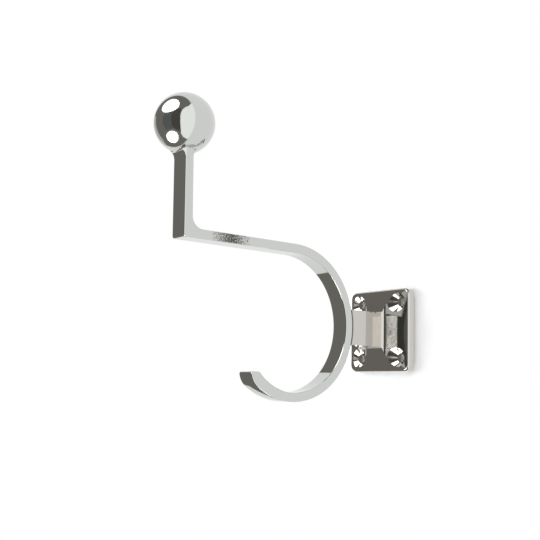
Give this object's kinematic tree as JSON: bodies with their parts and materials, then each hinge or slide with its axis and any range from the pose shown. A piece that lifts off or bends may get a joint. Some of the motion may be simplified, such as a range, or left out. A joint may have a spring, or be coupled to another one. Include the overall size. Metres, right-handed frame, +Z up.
{
  "type": "hat and coat hook",
  "caption": "Wall hook with a square screw plate, a flat bar bent into a J-hook for a coat and a stem with a ball for a hat.",
  "frame": {"origin": "centre of the four wall screw holes, on the plate's back face where it lies on the wall", "axes": "+Z up, +Y into the wall, so the hook stands out towards -Y, and X across the hook"},
  "size_m": [0.04, 0.1339, 0.1298],
  "materials": {
    "chrome_casting": "polished chrome plate",
    "chrome_bar": "polished chrome plate",
    "chrome_ball": "polished chrome plate",
    "plain_steel": "plain steel"
  },
  "bodies": {
    "root": {"wall_plate": "chrome_casting", "hook_arm": "chrome_bar", "hat_ball": "chrome_ball", "ball_stud": "plain_steel", "arm_screws": "plain_steel"}
  },
  "joints": []
}
